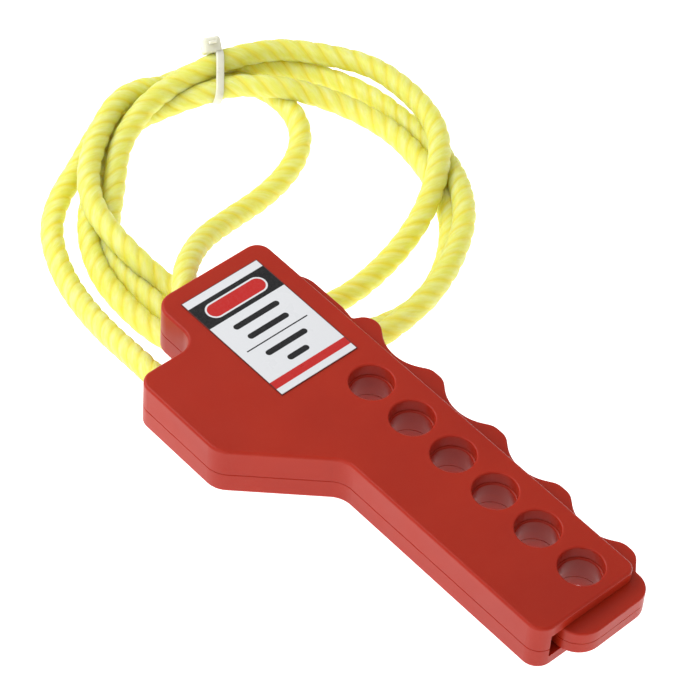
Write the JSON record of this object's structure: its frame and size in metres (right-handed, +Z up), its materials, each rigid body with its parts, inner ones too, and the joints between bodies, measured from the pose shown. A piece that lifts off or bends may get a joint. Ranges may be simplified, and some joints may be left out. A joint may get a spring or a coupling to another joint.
{
  "type": "lockout hasp",
  "caption": "Moulded lockout hasp with a squeeze lever that clamps a laid rope, a row of holes for padlocks, and its rope coiled and tied.",
  "frame": {"origin": "centre of the device's footprint, without its free rope, on the surface that it lies on", "axes": "+X from the head to the tail of the handle, +Y towards the lever's scalloped side, +Z up. The device lies with its head on its own rope, so its faces are tilted 5 degrees about Y"},
  "size_m": [0.234, 0.1427, 0.0269],
  "materials": {
    "cover_red": "satin moulded",
    "lever_red": "satin moulded",
    "pin_steel": "ground",
    "jaw_metal": "die-cast",
    "rope_yellow": "laid polypropylene yarn",
    "ferrule_metal": "pressed",
    "sleeve_clear": "shrunk sleeve",
    "tie_nylon": "natural nylon",
    "label_film": "printed film"
  },
  "bodies": {
    "housing": {"top_cover": "cover_red", "bottom_cover": "cover_red", "pivot_pin": "pin_steel", "fixed_jaw": "jaw_metal", "rope_end_a": "rope_yellow", "rope_end_b": "rope_yellow", "rope_ferrule": "ferrule_metal", "rope_end_sleeve": "sleeve_clear", "rope_tail_a": "rope_yellow", "rope_tail_b": "rope_yellow", "rope_coil": "rope_yellow", "cable_tie": "tie_nylon", "label": "label_film"},
    "lever": {"lever": "lever_red", "lever_jaw": "jaw_metal"}
  },
  "joints": [
    {"name": "lever_hinge", "type": "hinge", "parent": "housing", "child": "lever", "pos_m": [-0.05333, 0.01927, 0.01791], "axis": [0.0872, 0, 0.9962], "range_deg": [0, 15]}
  ]
}
